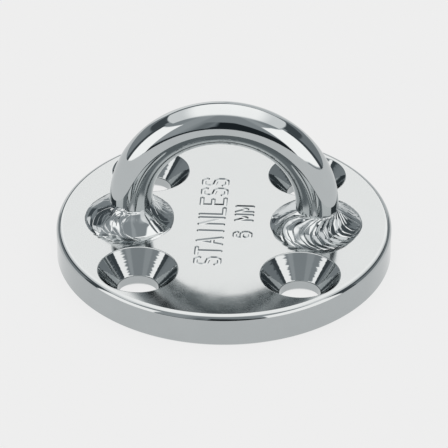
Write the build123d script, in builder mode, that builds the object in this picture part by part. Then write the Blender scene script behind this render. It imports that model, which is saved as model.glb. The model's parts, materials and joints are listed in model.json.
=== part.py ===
"""Welded round pad eye: a bent round-bar bow standing on a thick disc with four countersunk holes.

Millimetres, +Z up. The origin is the middle of the disc's underside, which lies on the deck.
+X runs from the left leg of the bow to the right leg, and the eye opens along Y.
"""

import os
from math import cos, hypot, isclose, pi, radians, sin

from build123d import *

# Base plate: a turned disc
plate_diameter = 50.0
plate_thickness = 5.0
rim_round = 0.95  # rounded top edge
underside_break = 0.25  # broken edge round the underside

# Screw holes: a rectangle of four, for 90 degree flat-head screws of 5 or 5.5 mm
screw_spacing_x = 23.8
screw_spacing_y = 26.8
screw_hole_diameter = 6.0
countersink_diameter = 12.0
countersink_angle = 90.0
hole_exit_break = 0.5

# Bow: round bar bent to a half circle on two straight legs, whose ends go through the plate
bar_diameter = 6.35
leg_spacing = 27.7  # between the legs' centrelines
leg_above_plate = 3.5  # straight bar between the plate's top and the bend
leg_socket_clearance = 0.1  # radial, between a leg and its hole in the plate

# Fillet welds on the plate's top: two half-round passes a leg, meeting at tie-ins
weld_reach = 3.75  # from the bar's surface out to the weld's toe
weld_rise = 2.7  # up the leg
weld_crown = 0.55  # how far the face bulges past a straight line from toe to top
tie_in_angles = {"left": -45.0, "right": 0.0}  # direction of one tie-in, from +X about the leg

# Root welds: they fill a bevel round each leg on the underside, and are ground flush
root_bevel = 1.6

# Stamp: a plain material and size mark, running from front to back
stamp_depth = 0.14
stamp_stroke = 0.42
stamp_lines = [  # text, letter height, letter width, pitch, x of its foot, middle in y
    ("STAINLESS", 3.5, 1.75, 2.65, -0.1, 0.0),
    ("6 MM", 2.3, 1.5, 2.3, 4.1, 0.0),
]

# Letters as pen strokes in a box one unit wide and one unit high
pen_strokes = {
    " ": [],
    "A": [[(0, 0), (0.5, 1), (1, 0)], [(0.2, 0.38), (0.8, 0.38)]],
    "E": [[(1, 1), (0, 1), (0, 0), (1, 0)], [(0, 0.52), (0.8, 0.52)]],
    "I": [[(0.5, 0), (0.5, 1)]],
    "L": [[(0, 1), (0, 0), (1, 0)]],
    "M": [[(0, 0), (0, 1), (0.5, 0.35), (1, 1), (1, 0)]],
    "N": [[(0, 0), (0, 1), (1, 0), (1, 1)]],
    "S": [[(1, 0.86), (0.78, 1), (0.22, 1), (0, 0.86), (0, 0.66), (0.22, 0.53), (0.78, 0.47)]
          + [(1, 0.34), (1, 0.14), (0.78, 0), (0.22, 0), (0, 0.14)]],
    "T": [[(0, 1), (1, 1)], [(0.5, 1), (0.5, 0)]],
    "6": [[(0.95, 0.86), (0.75, 1), (0.25, 1), (0, 0.82), (0, 0.18), (0.25, 0), (0.75, 0)]
          + [(1, 0.17), (1, 0.4), (0.75, 0.55), (0.25, 0.55), (0, 0.4)]],
}

# Worked out from the sizes above
plate_radius = plate_diameter / 2
bar_radius = bar_diameter / 2
leg_x = leg_spacing / 2
leg_centres = {"left": -leg_x, "right": leg_x}
bend_start = plate_thickness + leg_above_plate
socket_radius = bar_radius + leg_socket_clearance
root_radius = socket_radius + root_bevel

# Fillet weld section: distances out from the leg's axis and up from the plate's top
weld_toe = (bar_radius + weld_reach, 0)
weld_top = (bar_radius, weld_rise)
weld_slope = hypot(weld_reach, weld_rise)
weld_face_middle = (
    bar_radius + weld_reach / 2 + weld_crown * weld_rise / weld_slope,
    weld_rise / 2 + weld_crown * weld_reach / weld_slope,
)


def round_edges(part, radius, height):
    """The part's full-circle edges of one radius at one height."""
    circles = part.edges().filter_by(GeomType.CIRCLE)
    return circles.filter_by(
        lambda edge: isclose(edge.radius, radius, abs_tol=1e-3)
        and isclose(edge.center().Z, height, abs_tol=1e-3)
    )


def save(builder, name):
    """Label a finished piece and write it to its own file."""
    builder.part.label = name
    export_step(builder.part, f"parts/{name}.step")


os.makedirs("parts", exist_ok=True)

# Base plate
with BuildPart() as base_plate:
    with BuildSketch(Plane.XY):
        Circle(plate_radius)
    extrude(amount=plate_thickness)
    fillet(base_plate.faces().sort_by(Axis.Z)[-1].edges(), radius=rim_round)
    chamfer(base_plate.faces().sort_by(Axis.Z)[0].edges(), length=underside_break)

    # Countersunk screw holes, with their exits on the underside broken
    with Locations(Plane.XY.offset(plate_thickness)):
        with GridLocations(screw_spacing_x, screw_spacing_y, 2, 2):
            CounterSinkHole(
                radius=screw_hole_diameter / 2,
                counter_sink_radius=countersink_diameter / 2,
                counter_sink_angle=countersink_angle,
            )
    chamfer(round_edges(base_plate, screw_hole_diameter / 2, 0), length=hole_exit_break)

    # Sockets for the legs, bevelled on the underside for the root welds
    with Locations(-Plane.XY):
        with GridLocations(leg_spacing, 0, 2, 1):
            CounterSinkHole(
                radius=socket_radius, counter_sink_radius=root_radius, counter_sink_angle=90
            )

    # Stamp: text runs along +Y with the letters' tops towards -X
    stamp_plane = Plane(origin=(0, 0, plate_thickness), x_dir=(0, 1, 0), z_dir=(0, 0, 1))
    with BuildSketch(stamp_plane):
        for text, height, width, pitch, foot_x, middle_y in stamp_lines:
            start = middle_y - (len(text) - 1) * pitch / 2 - width / 2
            for column, letter in enumerate(text):
                for stroke in pen_strokes[letter]:
                    points = [
                        (start + column * pitch + u * width, -foot_x + v * height)
                        for u, v in stroke
                    ]
                    for (x0, y0), (x1, y1) in zip(points, points[1:]):
                        SlotCenterPoint(
                            center=((x0 + x1) / 2, (y0 + y1) / 2),
                            point=(x1, y1),
                            height=stamp_stroke,
                        )
    extrude(amount=-stamp_depth, mode=Mode.SUBTRACT)
save(base_plate, "base_plate")

# Bow
with BuildPart() as bow:
    with BuildLine(Plane.XZ) as bow_path:
        Line((-leg_x, 0), (-leg_x, bend_start))
        CenterArc(center=(0, bend_start), radius=leg_x, start_angle=180, arc_size=-180)
        Line((leg_x, bend_start), (leg_x, 0))
    with BuildSketch(Plane(origin=(-leg_x, 0, 0), z_dir=(0, 0, 1))):
        Circle(bar_radius)
    sweep(path=bow_path.line)
save(bow, "bow")

# Welds
for side, x in leg_centres.items():
    leg_axis = Axis(origin=(x, 0, 0), direction=(0, 0, 1))
    tie_in = radians(tie_in_angles[side])

    # Two fillet passes a leg, each turning half way round it from one tie-in to the other
    for position, start in (("back", tie_in), ("front", tie_in + pi)):
        section_plane = Plane(
            origin=(x, 0, plate_thickness),
            x_dir=(cos(start), sin(start), 0),
            z_dir=(sin(start), -cos(start), 0),
        )
        with BuildPart() as fillet_pass:
            with BuildSketch(section_plane):
                with BuildLine():
                    Polyline(weld_top, (bar_radius, 0), weld_toe)
                    ThreePointArc(weld_toe, weld_face_middle, weld_top)
                make_face()
            revolve(axis=leg_axis, revolution_arc=180)
        save(fillet_pass, f"{side}_{position}_weld")

    # Root weld: a ring of triangular section in the bevel, bored by the leg
    with BuildPart() as root_weld:
        with BuildSketch(Plane(origin=(x, 0, 0), x_dir=(1, 0, 0), z_dir=(0, -1, 0))):
            Polygon(
                (bar_radius, 0),
                (root_radius, 0),
                (socket_radius, root_bevel),
                (bar_radius, root_bevel),
                align=None,
            )
        revolve(axis=leg_axis, revolution_arc=360)
    save(root_weld, f"{side}_root_weld")
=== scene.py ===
"""Looks of a welded round pad eye in polished stainless steel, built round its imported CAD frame."""

import json
import math
import random

import bmesh
import bpy
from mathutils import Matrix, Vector, noise


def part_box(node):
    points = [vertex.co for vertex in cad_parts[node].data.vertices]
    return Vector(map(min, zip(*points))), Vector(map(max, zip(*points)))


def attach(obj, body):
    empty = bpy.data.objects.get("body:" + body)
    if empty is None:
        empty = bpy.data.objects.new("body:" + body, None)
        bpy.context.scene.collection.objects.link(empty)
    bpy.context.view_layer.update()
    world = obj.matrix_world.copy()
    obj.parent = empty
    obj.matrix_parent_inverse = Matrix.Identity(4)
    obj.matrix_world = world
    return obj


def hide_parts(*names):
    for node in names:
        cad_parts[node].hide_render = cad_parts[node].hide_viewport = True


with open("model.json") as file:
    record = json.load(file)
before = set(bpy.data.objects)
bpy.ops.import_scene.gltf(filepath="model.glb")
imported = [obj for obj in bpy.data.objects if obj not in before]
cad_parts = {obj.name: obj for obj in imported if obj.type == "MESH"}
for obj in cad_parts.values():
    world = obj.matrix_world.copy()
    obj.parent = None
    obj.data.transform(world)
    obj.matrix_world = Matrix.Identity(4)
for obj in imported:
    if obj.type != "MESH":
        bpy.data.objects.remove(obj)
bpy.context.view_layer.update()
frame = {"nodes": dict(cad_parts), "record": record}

MM = 0.001

# ---------------------------------------------------------------- sizes

# read from the frame

plate_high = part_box("base_plate")[1]
bow_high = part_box("bow")[1]
root_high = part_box("right_root_weld")[1]
screws = next(m for m in frame["record"]["mounts"] if m["name"] == "screw_holes")

plate_radius = plate_high.x
plate_top = plate_high.z
bar_radius = bow_high.y
leg_x = bow_high.x - bar_radius
bend_z = bow_high.z - bar_radius - leg_x
root_radius = root_high.x - leg_x
root_depth = root_high.z
screw_radius = screws["dims"]["hole_r_mm"] * MM
screw_x = screws["dims"]["spacing_x_mm"] / 2 * MM
screw_y = screws["dims"]["spacing_y_mm"] / 2 * MM

# not stated in the frame: these repeat the design, except that its cone has a half angle of 45 degrees
sink_radius = 6 * MM
hole_exit_break = 0.5 * MM
rim_round = 0.95 * MM
underside_break = 0.25 * MM
sink_half_angle = math.radians(42.0)


# ---------------------------------------------------------------- mesh helpers


def new_object(name, verts, faces):
    """An object of its own mesh, in the scene."""
    mesh = bpy.data.meshes.new(name)
    mesh.from_pydata([tuple(v) for v in verts], [], faces)
    mesh.update()
    piece = bpy.data.objects.new(name, mesh)
    bpy.context.scene.collection.objects.link(piece)
    return piece


def grid_faces(rows, columns, close_rows=False, close_columns=False):
    """Quads over a grid of rows x columns points, numbered row by row."""
    quads = []
    for i in range(rows if close_rows else rows - 1):
        for j in range(columns if close_columns else columns - 1):
            i2, j2 = (i + 1) % rows, (j + 1) % columns
            quads.append((i * columns + j, i2 * columns + j, i2 * columns + j2, i * columns + j2))
    return quads


def lathe(name, profile, segments, centre=(0, 0)):
    """A closed solid of revolution. The profile runs from the axis at the bottom to the axis at the top."""
    rings = profile[1:-1]
    verts = []
    for r, z in rings:
        for k in range(segments):
            a = 2 * math.pi * k / segments
            verts.append((centre[0] + r * math.cos(a), centre[1] + r * math.sin(a), z))
    count = len(rings)
    faces = [(i * segments + k, i * segments + (k + 1) % segments,
              (i + 1) * segments + (k + 1) % segments, (i + 1) * segments + k)
             for i in range(count - 1) for k in range(segments)]
    faces.append(tuple(reversed(range(segments))))
    faces.append(tuple((count - 1) * segments + k for k in range(segments)))
    return new_object(name, verts, faces)


def arc_points(centre_r, centre_z, radius, start, end, steps):
    """Points of a profile's arc, angles in degrees from outwards towards up."""
    angles = [math.radians(start + (end - start) * k / steps) for k in range(steps + 1)]
    return [(centre_r + radius * math.cos(a), centre_z + radius * math.sin(a)) for a in angles]


def finish_mesh(piece, sharp_degrees=30):
    """Smooth shading with sharp edges kept, weighted by face area so that flats stay flat."""
    mesh = piece.data
    mesh.polygons.foreach_set("use_smooth", [True] * len(mesh.polygons))
    mesh.set_sharp_from_angle(angle=math.radians(sharp_degrees))
    weighted = piece.modifiers.new("weighted", "WEIGHTED_NORMAL")
    weighted.keep_sharp = True
    weighted.weight = 100
    apply_modifiers(piece)


def apply_modifiers(piece):
    """The piece's mesh becomes what its modifiers make."""
    graph = bpy.context.evaluated_depsgraph_get()
    made = bpy.data.meshes.new_from_object(piece.evaluated_get(graph))
    made.name = piece.name
    piece.modifiers.clear()
    piece.data = made


def fix_normals(piece):
    """Turns every face outwards."""
    work = bmesh.new()
    work.from_mesh(piece.data)
    bmesh.ops.recalc_face_normals(work, faces=work.faces)
    work.to_mesh(piece.data)
    work.free()


def cut(piece, cutters):
    """Takes every cutter out of the piece."""
    group = bpy.data.collections.new("cutters")
    for c in cutters:
        bpy.context.scene.collection.objects.unlink(c)
        group.objects.link(c)
    bpy.context.scene.collection.children.link(group)
    boolean = piece.modifiers.new("cut", "BOOLEAN")
    boolean.operation = "DIFFERENCE"
    boolean.solver = "EXACT"
    boolean.operand_type = "COLLECTION"
    boolean.collection = group
    apply_modifiers(piece)
    for c in cutters:
        bpy.data.objects.remove(c)
    bpy.data.collections.remove(group)


# ---------------------------------------------------------------- base plate


OVER = 1.0 * MM  # how far cutters stand out past the plate


def plate_body():
    """The turned disc: a broken underside edge, a plain side and a rounded top edge."""
    edge = plate_radius - rim_round
    profile = [(0, 0), (plate_radius - underside_break, 0), (plate_radius, underside_break)]
    profile += arc_points(edge, plate_top - rim_round, rim_round, 0, 90, 20)
    profile += [(0, plate_top)]
    return lathe("base_plate_polished", profile, 320)


def countersink_cutter(x, y, number):
    """A cutter for one screw hole: soft edges, and a cone that keeps the marks of the countersink tool."""
    lip, shoulder = 0.3 * MM, 0.35 * MM
    marks_apart, mark_height = 0.34 / 1.15 * MM, 0.0032 * MM
    corner_steps, cone_rows, segments = 8, 96, 128
    sine, cosine = math.sin(sink_half_angle), math.cos(sink_half_angle)
    mouth = lip * math.tan((math.pi / 2 - sink_half_angle) / 2)
    cone_radius = sink_radius - mouth
    hole_z = plate_top - (cone_radius - screw_radius) / math.tan(sink_half_angle)
    profile = [(0, -OVER), (screw_radius + hole_exit_break + OVER, -OVER), (screw_radius, hole_exit_break)]

    # the shoulder between the hole and the cone
    reach = shoulder * math.tan(sink_half_angle / 2)
    for k in range(corner_steps + 1):
        a = sink_half_angle * k / corner_steps
        profile.append((screw_radius + shoulder * (1 - math.cos(a)), hole_z - reach + shoulder * math.sin(a)))

    # the cone, with the tool's marks fading out at both ends
    length = (cone_radius - screw_radius) / sine
    for k in range(1, cone_rows):
        along = reach + (length - reach - mouth) * k / cone_rows
        mark = mark_height * noise.noise(Vector((along / marks_apart, number * 7.3, 0.4)))
        mark *= min(1, 8 * k / cone_rows, 8 * (1 - k / cone_rows))
        profile.append((screw_radius + along * sine - mark * cosine, hole_z + along * cosine + mark * sine))

    # the lip, rolled over into the plate's top
    for k in range(corner_steps + 1):
        a = sink_half_angle + (math.pi / 2 - sink_half_angle) * k / corner_steps
        profile.append((sink_radius - lip * math.cos(a), plate_top - lip + lip * math.sin(a)))
    profile[-1] = (sink_radius, plate_top)
    profile += [(sink_radius + 0.01 * MM, plate_top + OVER), (0, plate_top + OVER)]
    return lathe(f"sink_{number}", profile, segments, (x, y))


def socket_cutter(x):
    """A cutter for one leg's hole, with its bevel on the underside."""
    socket = root_radius - root_depth
    profile = [(0, -OVER), (root_radius + OVER, -OVER), (socket, root_depth)]
    profile += [(socket, plate_top + OVER), (0, plate_top + OVER)]
    return lathe(f"socket_{'right' if x > 0 else 'left'}", profile, 96, (x, 0))


# Letters as pen strokes in a box one unit wide and one unit high
PEN_STROKES = {
    " ": [],
    "A": [[(0, 0), (0.5, 1), (1, 0)], [(0.2, 0.38), (0.8, 0.38)]],
    "E": [[(1, 1), (0, 1), (0, 0), (1, 0)], [(0, 0.52), (0.8, 0.52)]],
    "I": [[(0.5, 0), (0.5, 1)]],
    "L": [[(0, 1), (0, 0), (1, 0)]],
    "M": [[(0, 0), (0, 1), (0.5, 0.35), (1, 1), (1, 0)]],
    "N": [[(0, 0), (0, 1), (1, 0), (1, 1)]],
    "S": [[(1, 0.86), (0.78, 1), (0.22, 1), (0, 0.86), (0, 0.66), (0.22, 0.53), (0.78, 0.47)]
          + [(1, 0.34), (1, 0.14), (0.78, 0), (0.22, 0), (0, 0.14)]],
    "T": [[(0, 1), (1, 1)], [(0.5, 1), (0.5, 0)]],
    "6": [[(0.95, 0.86), (0.75, 1), (0.25, 1), (0, 0.82), (0, 0.18), (0.25, 0), (0.75, 0)]
          + [(1, 0.17), (1, 0.4), (0.75, 0.55), (0.25, 0.55), (0, 0.4)]],
}

# The generic stamp: text, letter height, letter width, pitch and x of its foot, in millimetres
STAMP_LINES = [("STAINLESS", 3.5, 1.75, 2.65, -0.1), ("6 MM", 2.3, 1.5, 2.3, 4.1)]


def stroke_cutter(start, end, number):
    """A cutter for one straight pen stroke: a groove with sloping sides and round ends."""
    top_half, floor_half, depth, above = 0.34 * MM, 0.15 * MM, 0.16 * MM, 0.05 * MM
    slope = (top_half - floor_half) / depth
    heading = math.atan2(end[1] - start[1], end[0] - start[0])
    steps = 8
    verts = []
    for half, z in ((floor_half, plate_top - depth), (top_half + slope * above, plate_top + above)):
        for centre, turn in ((end, -math.pi / 2), (start, math.pi / 2)):
            for k in range(steps + 1):
                a = heading + turn + math.pi * k / steps
                verts.append((centre[0] + half * math.cos(a), centre[1] + half * math.sin(a), z))
    ring = 2 * (steps + 1)
    faces = [(k, (k + 1) % ring, ring + (k + 1) % ring, ring + k) for k in range(ring)]
    faces += [tuple(reversed(range(ring))), tuple(range(ring, 2 * ring))]
    return new_object(f"stroke_{number}", verts, faces)


def stamp_cutters():
    """Cutters for every pen stroke. Text runs along +Y with the letters' tops towards -X."""
    cutters = []
    for text, height, width, pitch, foot_x in STAMP_LINES:
        start = -(len(text) - 1) * pitch / 2 - width / 2
        for column, letter in enumerate(text):
            for stroke in PEN_STROKES[letter]:
                points = [
                    ((foot_x - v * height) * MM, (start + column * pitch + u * width) * MM)
                    for u, v in stroke
                ]
                for a, b in zip(points, points[1:]):
                    cutters.append(stroke_cutter(a, b, len(cutters)))
    return cutters


def base_plate():
    """The polished disc with everything that is cut into it."""
    plate = plate_body()
    corners = [(sx * screw_x, sy * screw_y) for sy in (-1, 1) for sx in (-1, 1)]
    cutters = [countersink_cutter(x, y, k) for k, (x, y) in enumerate(corners)]
    cutters += [socket_cutter(-leg_x), socket_cutter(leg_x)]
    cut(plate, cutters + stamp_cutters())
    finish_mesh(plate)

    # the flat top has the second, duller material
    upright, near_top = 0.9999, plate_top - 0.01 * MM
    for face in plate.data.polygons:
        if face.normal.z > upright and face.center.z > near_top:
            face.material_index = 1
    return plate


# ---------------------------------------------------------------- bow


def bow_path(steps):
    """Centreline points with their outward directions, from the left foot over to the right foot."""
    leg_steps = 8
    path = []
    for k in range(leg_steps):
        path.append(((-leg_x, 0, bend_z * k / leg_steps), (-1, 0, 0)))
    for k in range(steps + 1):
        a = math.pi * (1 - k / steps)
        out = (math.cos(a), 0, math.sin(a))
        path.append(((leg_x * out[0], 0, bend_z + leg_x * out[2]), out))
    for k in range(1, leg_steps + 1):
        path.append(((leg_x, 0, bend_z * (1 - k / leg_steps)), (1, 0, 0)))
    return path


def bow():
    """The bent bar, with the slight waviness of hand polishing."""
    around, bend_steps = 96, 220
    wave_length, wave_height = 5 * MM, 0.006 * MM
    path = bow_path(bend_steps)
    verts = []
    for centre, out in path:
        for k in range(around):
            a = 2 * math.pi * k / around
            direction = Vector(out) * math.cos(a) + Vector((0, 1, 0)) * math.sin(a)
            spot = Vector(centre) + direction * bar_radius
            wave = noise.noise(spot / wave_length) * wave_height
            verts.append(Vector(centre) + direction * (bar_radius + wave))
    faces = grid_faces(len(path), around, close_columns=True)
    faces.append(tuple(range(around)))
    faces.append(tuple(reversed(range((len(path) - 1) * around, len(path) * around))))
    piece = new_object("bow_polished", verts, faces)
    fix_normals(piece)
    finish_mesh(piece)
    return piece


# ---------------------------------------------------------------- welds

# How each leg's bead was laid. The values were set for the way the beads catch the light.
# Angles are in degrees about the leg, from +X towards +Y, and the torch moved that way. Lengths are in
# millimetres. Each table runs round the leg as (angle, value):
# reach is the toe's distance from the leg's axis, rise is the height up the leg, crown is how far the
# face bulges, step is the height of the edge at the toe, feather is how far that edge runs out thinly
# over the plate and ripple is the height of the ripples.
# face is the shape of a ripple: the share of it that climbs, and how quickly the rest falls away.
# ties are the two places where the passes meet: (angle at the leg, angle at the toe).
# lump adds smooth swells: (angle, place from toe 0 to top 1, height, width in degrees, width across).
BEADS = {
    "left": {
        "ties": [(-53, -43), (125, 140)],
        "reach": [(0, 6.35), (45, 6.6), (90, 6.8), (135, 6.9), (180, 7.0), (208, 6.9), (224, 6.8),
                  (242, 6.05), (252, 6.0), (264, 6.25), (290, 6.15), (315, 6.2), (340, 6.4)],
        "feather": [(230, 0), (243, 0.75), (252, 0.9), (266, 0.7), (295, 0.7), (335, 0.2), (350, 0)],
        "rise": [(0, 2.95), (45, 2.6), (90, 2.6), (135, 3.3), (180, 3.35), (225, 3.5), (238, 3.8),
                 (252, 3.8), (265, 3.3), (305, 3.25), (332, 3.2), (350, 3.1)],
        "crown": [(0, 0.08), (30, 0.2), (60, 0.3), (110, 0.2), (150, 0.06), (180, 0.1), (205, 0.04),
                  (226, 0.04), (240, 0.06), (254, 0.04), (266, -0.1), (285, -0.06), (305, 0.05), (330, 0.05)],
        "step": [(0, 0.2), (90, 0.2), (150, 0.12), (200, 0.03), (262, 0.03), (300, 0.04), (330, 0.15)],
        "ripple": [(0, 0.05), (60, 0.06), (120, 0.06), (180, 0.08), (225, 0.08), (256, 0.07), (264, 0),
                   (312, 0), (335, 0.02)],
        "face": (0.16, 1.0),
        "lump": [(266, 0.4, 0.38, 23, 0.8), (10, 0.12, 0.08, 9, 0.14), (30, 0.35, 0.1, 9, 0.22)],
        "seed": 11,
    },
    "right": {
        "ties": [(-12, -2), (205, 198)],
        "reach": [(0, 6.8), (45, 6.9), (90, 6.9), (140, 7.0), (180, 7.0), (215, 6.9), (250, 6.9), (285, 6.9),
                  (315, 6.7), (340, 6.65)],
        "feather": [(0, 0), (180, 0)],
        "rise": [(0, 2.85), (60, 2.6), (90, 2.4), (150, 2.4), (186, 2.55), (205, 3.1), (270, 3.1), (315, 3.1),
                 (340, 3.05)],
        "crown": [(0, 0.12), (40, 0.2), (90, 0.2), (150, 0.1), (188, 0.1), (205, 0.4), (250, 0.36),
                  (280, 0.22), (305, 0.18), (340, 0.15)],
        "step": [(0, 0.1), (90, 0.2), (180, 0.15), (235, 0.08), (270, 0.06), (310, 0.05), (340, 0.03)],
        "ripple": [(0, 0.05), (50, 0.09), (90, 0.05), (110, 0.01), (170, 0.01), (198, 0.04), (206, 0.34),
                   (262, 0.36), (294, 0.24), (308, 0.06), (340, 0.05)],
        "face": (0.3, 0.8),
        "lump": [(128, 0.5, 0.1, 22, 0.4), (172, 0.12, -0.25, 3, 0.16), (178, 0.15, 0.15, 5, 0.2)],
        "seed": 5,
    },
}
# along a pass, in degrees about the leg
RIPPLE_PITCH = 9.0  # from one ripple to the next, on average
TIE_BLEND = 18.0  # over which a pass turns into its tie-ins
TOE_LEAD, TOP_LEAD = 28.0, 24.0  # how far a ripple's two ends lie ahead of its middle
ROLL_OFF = 2.5  # over which a pass that is laid over another rolls down at its ends
WAVER = 2.5  # how far a ripple's line strays

# shares of a ripple's pitch and height that chance may give it, the share of a pitch that is too short for
# one more ripple at a pass's end, and about the mean height of a ripple's shape
PITCH_SPREAD, HEIGHT_SPREAD = (0.65, 1.35), (0.5, 1.5)
SHORT_END = 0.7
MEAN_SCALE = 0.4

# across the face, as shares of the way from the toe to the top
FADE = 0.12  # where ripples die out at the toe and at the top
EDGE_SHARE = 0.07  # the rounded edge at the toe
FEATHER_SHARE = 0.02  # the thin run-out over the plate
EDGE_FADE = 0.5  # where the edge's height runs out towards the top
ROLL_FADE = 0.6  # where the height of a pass that is laid over another runs out towards the top
TOE_WAVE_SHARE = 0.3  # where the ripples also push the toe outwards
TOE_WAVE = 0.6  # how far they push it, as a share of their height

# noise: its units a radian round the leg and from toe to top, and the rates of the swells and of the waver
NOISE_AROUND, NOISE_ACROSS = 5, 4.6
BROAD_RATE, FINE_RATE, WAVER_RATE = 0.55, 1.9, 0.8
# heights in mm of the swells: the broad ones' own, and what both gain for each mm of ripple
BROAD_SWELL, BROAD_GAIN, FINE_GAIN = 0.02, 0.06, 0.03

# in mm: how deep the face sinks into what it meets, how deep the hidden foot lies in the bar and the plate,
# and how far the foot stands up inside the bar
SINK_IN, FOOT_IN, FOOT_HEIGHT = 0.03, 0.3, 2.0

COLUMNS_PER_RIPPLE = 20
BEAD_ROWS = 80
ROW_CROWDING = 1.25  # over one, so that rows lie closer near the toe


def around_leg(table, angle):
    """A value from a table of (angle, value) that goes round the leg."""
    angle %= 360
    stops = sorted((a % 360, v) for a, v in table)
    stops = [(stops[-1][0] - 360, stops[-1][1])] + stops + [(stops[0][0] + 360, stops[0][1])]
    for (a0, v0), (a1, v1) in zip(stops, stops[1:]):
        if a0 <= angle <= a1:
            s = (angle - a0) / (a1 - a0)
            s = s * s * (3 - 2 * s)
            return v0 + (v1 - v0) * s
    return stops[0][1]


def smooth(value):
    """Smooth step from nought to one."""
    value = max(0.0, min(1.0, value))
    return value * value * (3 - 2 * value)


def ripple_edges(length, dice):
    """Where each ripple of a pass begins, in degrees along it, and where the last one ends."""
    edges = [0.0]
    while edges[-1] < length - SHORT_END * RIPPLE_PITCH:
        edges.append(edges[-1] + RIPPLE_PITCH * dice.uniform(*PITCH_SPREAD))
    edges[-1] = length
    return edges


def unevenness(how, angle, t, spot, strength):
    """The height in mm that slow swells and the table's lumps add."""
    height = (BROAD_SWELL + BROAD_GAIN * strength) * noise.noise(spot * BROAD_RATE)
    height += FINE_GAIN * strength * noise.noise(spot * FINE_RATE)
    for at, place, tall, wide, deep in how["lump"]:
        off = (angle - at + 180) % 360 - 180
        height += tall * math.exp(-((off / wide) ** 2) - ((t - place) / deep) ** 2)
    return height


def face_point(how, angle, t, spot, strength, scale, roll):
    """A point of a bead's face: its distance from the leg's axis and its height over the plate."""
    body = smooth(t / FADE) * smooth((1 - t) / FADE)
    lift = (strength * (scale - MEAN_SCALE) + unevenness(how, angle, t, spot, strength)) * body
    lift += roll * smooth(t / FADE) * smooth((1 - t) / ROLL_FADE)
    lift += around_leg(how["crown"], angle) * 4 * t * (1 - t)
    edge = math.sqrt(1 - (1 - min(1, t / EDGE_SHARE)) ** 2) * smooth((1 - t) / EDGE_FADE)
    lift += around_leg(how["step"], angle) * edge

    reach = around_leg(how["reach"], angle) - bar_radius / MM
    reach += TOE_WAVE * (scale - MEAN_SCALE) * strength * smooth(1 - t / TOE_WAVE_SHARE)
    rise = around_leg(how["rise"], angle)
    size = math.hypot(reach, rise)
    thin = around_leg(how["feather"], angle) * max(0, 1 - t / FEATHER_SHARE)
    radius = bar_radius + (reach * (1 - t) + thin + lift * rise / size - SINK_IN) * MM
    height = (rise * t + lift * reach / size - SINK_IN) * MM
    return radius, height


def bead(name, how, first, last, centre_x, laid_over):
    """One weld pass, from the tie-in first to the tie-in last: overlapping ripples from toe to leg.

    A pass laid over the ends of the other one stands that much higher, in mm, and rolls down at its ends.
    """
    seed = Vector((how["seed"], 0, 0))
    climb, fall = how["face"]
    dice = random.Random(name)
    start, end = sum(first) / 2, sum(last) / 2
    edges = ripple_edges(end - start, dice)
    strengths = [dice.uniform(*HEIGHT_SPREAD) for _ in edges]
    verts = []

    def place(radius, angle, height):
        a = math.radians(angle)
        verts.append((centre_x + radius * math.cos(a), radius * math.sin(a), plate_top + height))

    ripples = len(edges) - 1
    stations = [(n, k / COLUMNS_PER_RIPPLE) for n in range(ripples) for k in range(COLUMNS_PER_RIPPLE)]
    stations.append((ripples - 1, 1.0))
    for number, share in stations:
        gone = edges[number] + (edges[number + 1] - edges[number]) * share
        left = end - start - gone
        base = start + gone
        at_first, at_last = 1 - smooth(gone / TIE_BLEND), 1 - smooth(left / TIE_BLEND)
        steady = 1 - at_first - at_last
        scale = smooth(share / climb) * max(0, 1 - share) ** fall
        strength = around_leg(how["ripple"], base) * strengths[number]
        roll = laid_over * (1 - math.exp(-((gone / ROLL_OFF) ** 2)) - math.exp(-((left / ROLL_OFF) ** 2)))
        for j in range(BEAD_ROWS + 1):
            t = (j / BEAD_ROWS) ** ROW_CROWDING
            lead = TOE_LEAD * max(0, 1 - 2 * t) ** 2 + TOP_LEAD * max(0, 2 * t - 1) ** 2
            angle = base + steady * lead
            angle += at_first * (first[1] + (first[0] - first[1]) * t - start)
            angle += at_last * (last[1] + (last[0] - last[1]) * t - end)
            spot = Vector((math.radians(angle) * NOISE_AROUND, t * NOISE_ACROSS, 0)) + seed
            angle += WAVER * steady * noise.noise(spot * WAVER_RATE)
            radius, height = face_point(how, angle, t, spot, strength, scale, roll)
            place(radius, angle, height)
        # the hidden foot, inside the bar and just under the plate's surface
        foot_radius = bar_radius - FOOT_IN * MM
        place(foot_radius, base + steady * TOP_LEAD, FOOT_HEIGHT * MM)
        place(foot_radius, base + steady * TOE_LEAD, -FOOT_IN * MM)
    rows = BEAD_ROWS + 3
    columns = len(stations)
    faces = grid_faces(columns, rows, close_columns=True)
    faces.append(tuple(range(rows)))
    faces.append(tuple(reversed(range((columns - 1) * rows, columns * rows))))
    piece = new_object(name, verts, faces)
    fix_normals(piece)
    finish_mesh(piece, 50)
    return piece


# ---------------------------------------------------------------- materials


class Nodes:
    """A node tree with short ways to add and join nodes."""

    def __init__(self, tree):
        self.tree = tree
        tree.nodes.clear()

    def add(self, kind, inputs=None, **settings):
        """A node whose inputs are values or other nodes' outputs."""
        made = self.tree.nodes.new(kind)
        for key, value in settings.items():
            setattr(made, key, value)
        for key, value in (inputs or {}).items():
            if isinstance(value, bpy.types.NodeSocket):
                self.tree.links.new(value, made.inputs[key])
            else:
                made.inputs[key].default_value = value
        return made

    def math(self, operation, *values):
        """The result of a maths node on the values."""
        made = self.add("ShaderNodeMath", dict(enumerate(values)), operation=operation)
        return made.outputs[0]

    def ramp(self, value, low, high, out_low=0.0, out_high=1.0):
        """Smooth step of a value from one range to another."""
        made = self.add(
            "ShaderNodeMapRange",
            {"Value": value, "From Min": low, "From Max": high, "To Min": out_low, "To Max": out_high},
            interpolation_type="SMOOTHSTEP",
        )
        return made.outputs["Result"]


def new_material(name):
    """A material and the helper for its nodes."""
    material = bpy.data.materials.new(name)
    material.use_nodes = True
    return material, Nodes(material.node_tree)


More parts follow.
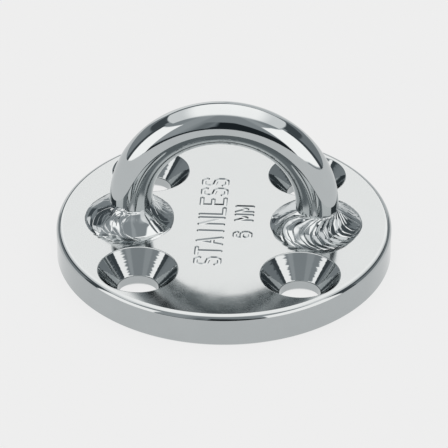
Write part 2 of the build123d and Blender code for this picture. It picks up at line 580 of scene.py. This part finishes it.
def polished_steel(name, bright, rough):
    """Mirror-polished stainless: faint cloudy haze and fine polishing grain."""
    grain, grain_depth = 0.3, 0.002 * MM
    material, n = new_material(name)
    tint = (0.945 * bright, bright, 1.015 * bright)
    place = n.add("ShaderNodeTexCoord").outputs["Object"]
    haze = n.add("ShaderNodeTexNoise", {"Vector": place, "Scale": 350.0, "Detail": 3.0}).outputs["Fac"]
    fine = n.add("ShaderNodeTexNoise", {"Vector": place, "Scale": 6000.0, "Detail": 2.0}).outputs["Fac"]
    darker, lighter = [(*[c * share for c in tint], 1) for share in (0.97, 1.03)]
    # inputs 6 and 7 and output 2 are the node's colours
    shade = n.add("ShaderNodeMix", {"Factor": haze, 6: darker, 7: lighter}, data_type="RGBA")
    roughness = n.ramp(haze, 0.3, 0.7, rough * 0.8, rough * 1.25)
    bump = n.add("ShaderNodeBump", {"Height": fine, "Strength": grain, "Distance": grain_depth})
    surface = n.add(
        "ShaderNodeBsdfPrincipled",
        {
            "Base Color": shade.outputs[2],
            "Metallic": 1.0,
            "Roughness": roughness,
            "Normal": bump.outputs["Normal"],
        },
    )
    n.add("ShaderNodeOutputMaterial", {"Surface": surface.outputs[0]})
    return material


def dress(piece, materials, slot, *nodes):
    """Gives a piece its materials and its place in the frame."""
    choice = [face.material_index for face in piece.data.polygons]
    piece.data.materials.clear()
    for material in materials:
        piece.data.materials.append(material)
    piece.data.polygons.foreach_set("material_index", choice)
    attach(piece, "root")
    if nodes:
        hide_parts(*nodes)


# ---------------------------------------------------------------- studio


AIR = 0.855  # how bright the plain surroundings look


def box_mask(n, u, v, u_range, v_range, edge):
    """One inside a soft-edged rectangle of the two coordinates, nought outside."""
    sides = [
        n.ramp(u, u_range[0] - edge, u_range[0] + edge),
        n.ramp(u, u_range[1] - edge, u_range[1] + edge, 1.0, 0.0),
        n.ramp(v, v_range[0] - edge, v_range[0] + edge),
        n.ramp(v, v_range[1] - edge, v_range[1] + edge, 1.0, 0.0),
    ]
    mask = sides[0]
    for side in sides[1:]:
        mask = n.math("MULTIPLY", mask, side)
    return mask


def studio_light():
    """A grey room with soft-edged panels, each set by its direction and brightness.

    They were placed so that the steel's reflections come out right from the front, so other views
    show the same panels from sides that they weren't set for. The camera itself sees plain pale air.
    """
    world = bpy.data.worlds.new("studio")
    bpy.context.scene.world = world
    world.use_nodes = True
    n = Nodes(world.node_tree)
    direction = n.add("ShaderNodeTexCoord").outputs["Generated"]
    x, y, z = n.add("ShaderNodeSeparateXYZ", {"Vector": direction}).outputs
    to_front = n.math("MULTIPLY", y, -1.0)

    # behind and front are turns to the right, in degrees, from straight behind and from the camera's side
    behind = n.math("DEGREES", n.math("ARCTAN2", x, y))
    front = n.math("DEGREES", n.math("ARCTAN2", x, to_front))
    height = n.math("DEGREES", n.math("ARCSINE", z))
    turn = n.math("ABSOLUTE", behind)
    # heights that fall away to one side, for panels with a slanting edge
    slant = n.math("ADD", height, n.math("MULTIPLY", n.math("MAXIMUM", front, 5.0), 0.9))
    past_corner = n.math("MAXIMUM", n.math("SUBTRACT", turn, 130.0), 0.0)
    corner = n.math("ADD", height, n.math("MULTIPLY", past_corner, 0.3))
    # place on a ceiling one unit up
    upward = n.math("MAXIMUM", z, 0.001)
    across = n.math("DIVIDE", x, upward)
    along = n.math("DIVIDE", y, upward)
    # the ceiling's width counts from its edges, which spread a little towards the back
    spread = n.math("ADD", 1.02, n.math("MULTIPLY", along, 0.2))
    wide = n.math("DIVIDE", n.math("ABSOLUTE", across), spread)

    def over(level, mask, value):
        """The level with a value laid over it where the mask is one."""
        return n.math("ADD", n.math("MULTIPLY", level, n.math("SUBTRACT", 1.0, mask)),
                      n.math("MULTIPLY", mask, value))

    level = 0.30
    # each panel lies over those before it: two coordinates, their ranges, soft edge, level
    panels = [
        (behind, height, (-98, -28), (-12, 22), 3, 0.35),
        (behind, height, (-31, -2), (-12, 13), 1.5, 1.08),
        (behind, height, (-2, 26), (-12, 26), 2, 0.73),
        (behind, height, (2, 30), (22, 40), 5, 1.1),
        (wide, along, (-1, 1.75), (-0.1, 2.3), 0.10, 0.10),
        (turn, height, (84, 190), (-12, 90), 1.5, 0.40),
        (front, height, (28, 45), (36, 75), 4, 0.53),
        (front, height, (-46, -22), (6, 75), 4, 0.50),
        (front, height, (-16, -8), (3, 34), 3, 0.24),
        (turn, height, (84, 97), (-2, 40), 1.5, 0.09),
        (front, height, (-46, 30), (-3, 4.5), 1.2, 0.04),
        (front, height, (-8, 30), (2, 10), 1.5, 0.027),
        (front, slant, (-6.5, 30), (5, 38), 2.0, 0.027),
        (wide, along, (-1, 1.0), (-0.28, 1.95), 0.025, 1.08),
        (wide, along, (-1, 0.55), (-0.28, 1.95), 0.16, 1.60),
        (behind, corner, (97.5, 150), (1.5, 43.8), 1.2, 1.62),
        (behind, height, (-139, -96.5), (-1, 38.6), 1.2, 1.62),
    ]
    for u, v, u_range, v_range, edge, value in panels:
        level = over(level, box_mask(n, u, v, u_range, v_range, edge), value)

    # dark parts of the room are a little bluer than the lamps
    shade = n.add(
        "ShaderNodeCombineColor",
        {"Red": n.math("POWER", level, 1.07), "Green": level, "Blue": n.math("POWER", level, 0.96)},
    )
    seen = n.add("ShaderNodeLightPath").outputs["Is Camera Ray"]
    lamps = n.add("ShaderNodeBackground", {"Color": shade.outputs[0], "Strength": 1.0})
    air = n.add("ShaderNodeBackground", {"Color": (AIR, AIR, AIR, 1), "Strength": 1.0})
    mixed = n.add("ShaderNodeMixShader", {0: seen, 1: lamps.outputs[0], 2: air.outputs[0]})
    n.add("ShaderNodeOutputWorld", {"Surface": mixed.outputs[0]})


def floor():
    """A plain pale floor, lit a little from within, that is clear from below."""
    near, far, z = -0.46, 2.0, -0.02 * MM
    corners = [(-far, near, z), (far, near, z), (far, far, z), (-far, far, z)]
    piece = new_object("floor", corners, [(0, 1, 2, 3)])
    material, n = new_material("floor_white")
    glow = n.add("ShaderNodeEmission", {"Color": (1, 1, 1, 1), "Strength": 0.8})
    matt = n.add("ShaderNodeBsdfDiffuse", {"Color": (0.055, 0.055, 0.055, 1)})
    both = n.add("ShaderNodeAddShader", {0: glow.outputs[0], 1: matt.outputs[0]})
    clear = n.add("ShaderNodeBsdfTransparent")
    below = n.add("ShaderNodeNewGeometry").outputs["Backfacing"]
    mixed = n.add("ShaderNodeMixShader", {0: below, 1: both.outputs[0], 2: clear.outputs[0]})
    n.add("ShaderNodeOutputMaterial", {"Surface": mixed.outputs[0]})
    piece.data.materials.append(material)


def camera():
    """A long lens in front, a little to the right, looking down on the pad eye."""
    elevation, turn = math.radians(33.66), math.radians(3.25)
    distance, aim_drop = 567 * MM, 0.41 * MM
    back = Vector((math.sin(turn) * math.cos(elevation), -math.cos(turn) * math.cos(elevation),
                   math.sin(elevation)))
    data = bpy.data.cameras.new("camera")
    data.lens, data.sensor_width = 305.4, 36
    data.clip_start, data.clip_end = 0.01, 20
    seen = bpy.data.objects.new("camera", data)
    bpy.context.scene.collection.objects.link(seen)
    turned = back.to_track_quat("Z", "Y")
    up = turned @ Vector((0, 1, 0))
    aim = Vector((0, 0, plate_top)) - up * aim_drop
    seen.rotation_mode = "QUATERNION"
    seen.rotation_quaternion = turned
    seen.location = aim + back * distance
    bpy.context.scene.camera = seen


# ---------------------------------------------------------------- assembly

camera()
studio_light()
floor()
bpy.context.scene.view_settings.view_transform = "Standard"

plate_steel = polished_steel("polished_steel_plate", bright=0.49, rough=0.035)
face_steel = polished_steel("polished_steel_face", bright=0.465, rough=0.1)
bar_steel = polished_steel("polished_steel_bar", bright=0.53, rough=0.03)
weld_steel = polished_steel("weld_steel", bright=0.55, rough=0.03)

dress(base_plate(), [plate_steel, face_steel], "polished_stainless", "base_plate")
dress(bow(), [bar_steel], "polished_stainless", "bow")

FRONT_LAID_OVER = 0.15  # mm that the front pass stands over the ends of the back one
for side, centre_x in (("left", -leg_x), ("right", leg_x)):
    how = BEADS[side]
    first, second = how["ties"]
    again = (first[0] + 360, first[1] + 360)
    dress(bead(f"{side}_back_bead", how, first, second, centre_x, 0.0),
          [weld_steel], "weld_metal", f"{side}_back_weld")
    dress(bead(f"{side}_front_bead", how, second, again, centre_x, FRONT_LAID_OVER),
          [weld_steel], "weld_metal", f"{side}_front_weld")
    root = frame["nodes"][f"{side}_root_weld"]
    root.data.materials.clear()
    root.data.materials.append(weld_steel)
